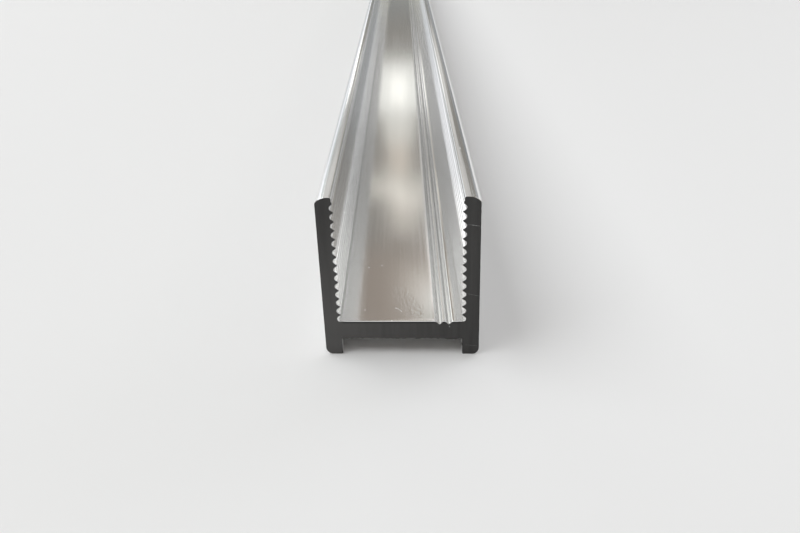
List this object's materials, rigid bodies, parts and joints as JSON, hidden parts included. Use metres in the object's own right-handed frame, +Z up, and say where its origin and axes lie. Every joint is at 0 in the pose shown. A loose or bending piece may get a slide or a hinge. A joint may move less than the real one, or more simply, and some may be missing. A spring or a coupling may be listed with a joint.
{
  "type": "aluminium channel extrusion",
  "caption": "Straight length of mill-finish aluminium channel with crowned walls, grooved inner faces, short feet under the web and fine marking grooves in its floor.",
  "frame": {"origin": "under the middle of the bar, half-way along it and half-way across it, at the level of the feet that it stands on", "axes": "+X across the section, towards the wall that the marking grooves lie beside; +Y along the bar; +Z up, out of the open channel"},
  "size_m": [0.025, 1, 0.0275],
  "materials": {
    "mill_aluminium": "mill finish, as extruded, with sawn ends"
  },
  "bodies": {
    "root": {"channel_profile": "mill_aluminium"}
  },
  "joints": []
}
